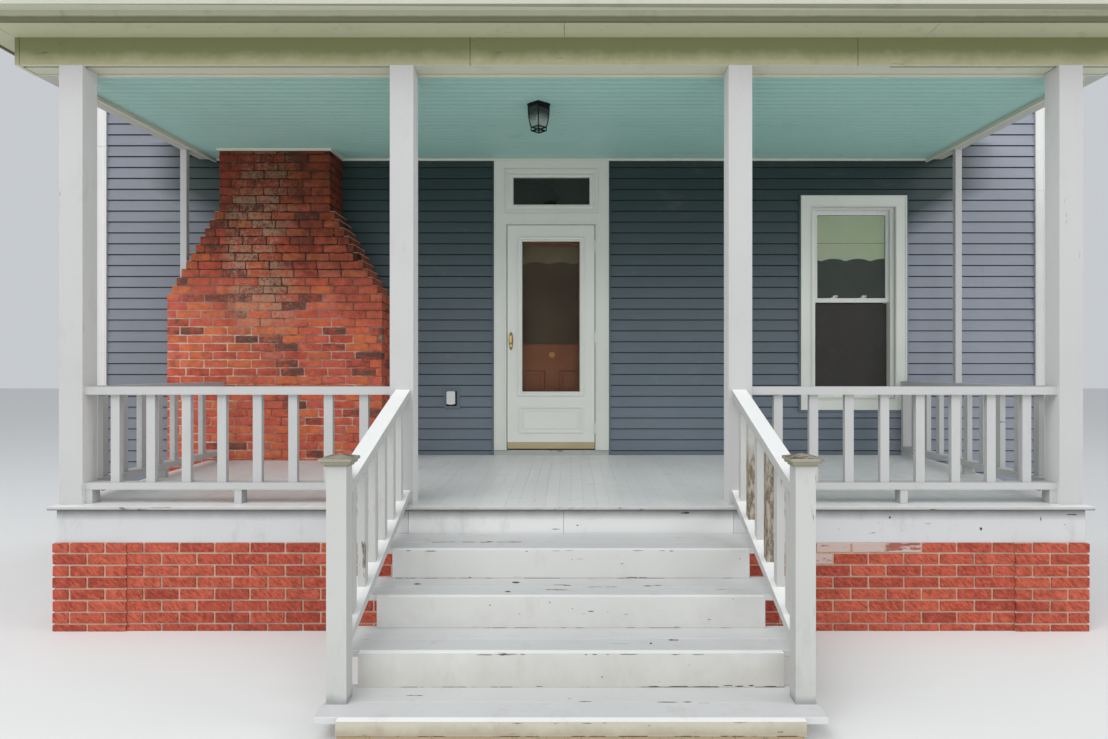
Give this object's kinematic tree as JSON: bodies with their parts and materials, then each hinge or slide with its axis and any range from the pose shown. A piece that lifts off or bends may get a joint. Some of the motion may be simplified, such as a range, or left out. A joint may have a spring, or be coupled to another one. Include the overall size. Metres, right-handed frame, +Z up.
{
  "type": "front porch",
  "caption": "Covered front porch with hipped roof, railings, steps, sided house wall, brick chimney, storm door, wooden front door and sash window.",
  "frame": {"origin": "on the ground, at the middle of the part's width and depth", "axes": "+X right along the house front seen from the street, +Y into the house, +Z up"},
  "size_m": [8.834, 3.993, 4.56],
  "materials": {
    "foundation_brick": null,
    "chimney_brick": null,
    "wall_board": "bare sheathing",
    "vinyl_siding": "satin slate blue vinyl",
    "white_vinyl": "satin white vinyl",
    "white_paint": "weathered white paint",
    "door_paint": "satin white enamel",
    "door_wood": "satin reddish brown varnish",
    "sill_metal": "satin",
    "dark_glass": "dark glossy glass",
    "clear_glass": "clear thin panes",
    "brass": "polished",
    "outlet_plastic": "matte light grey",
    "framing_wood": "rough sawn",
    "deck_paint": "satin light grey floor paint",
    "tread_paint": "worn grey floor paint",
    "ceiling_paint": "satin aqua paint on beaded boards",
    "gutter_metal": "satin white enamel",
    "shingle": "rough asphalt shingles",
    "cap_wood": "weathered bare wood with flaking paint",
    "black_metal": "satin black"
  },
  "bodies": {
    "porch": {"house_foundation": "foundation_brick", "wall_left": "wall_board", "wall_middle": "wall_board", "wall_right": "wall_board", "wall_at_door": "wall_board", "wall_at_window": "wall_board", "siding": "vinyl_siding", "house_corner_posts": "white_vinyl", "chimney": "chimney_brick", "door_casing": "white_paint", "door_jambs": "white_paint", "door_sill": "sill_metal", "transom_frame": "white_paint", "transom_glass": "dark_glass", "hinge_pins": "door_paint", "window_casing": "white_paint", "window_frame": "white_paint", "window_sashes": "white_paint", "window_glass": "dark_glass", "outlet_cover": "outlet_plastic", "foundation_walls": "foundation_brick", "foundation_piers": "foundation_brick", "deck_joists": "framing_wood", "deck_skirt": "white_paint", "deck_floor": "deck_paint", "stair_stringers": "framing_wood", "stair_risers": "white_paint", "stair_treads": "tread_paint", "porch_posts": "white_paint", "roof_props": "white_paint", "front_beam": "white_paint", "side_beams": "white_paint", "ceiling": "ceiling_paint", "ceiling_trim": "white_paint", "eave_soffit": "white_paint", "eave_fascia": "white_paint", "gutter_front": "gutter_metal", "gutter_sides": "gutter_metal", "roof_front": "shingle", "roof_sides": "shingle", "front_railings": "white_paint", "side_railings": "white_paint", "stair_railings": "white_paint", "newel_posts": "white_paint", "newel_caps": "cap_wood", "lantern_frame": "black_metal", "lantern_glass": "clear_glass"},
    "storm_door": {"storm_door_slab": "door_paint", "storm_door_glass": "dark_glass", "storm_door_sweep": "brass", "storm_door_handle": "brass", "storm_door_knuckles": "door_paint"},
    "front_door": {"front_door_leaf": "door_wood", "front_door_glass": "dark_glass", "front_door_fittings": "brass", "front_door_knuckles": "brass"}
  },
  "joints": [
    {"name": "storm_door_hinge", "type": "hinge", "parent": "porch", "child": "storm_door", "pos_m": [0.2225, 1.7945, 1.9], "axis": [0, 0, 1], "range_deg": [0, 95]},
    {"name": "front_door_hinge", "type": "hinge", "parent": "porch", "child": "front_door", "pos_m": [0.2175, 1.9885, 1.9], "axis": [0, 0, -1], "range_deg": [0, 95]}
  ]
}
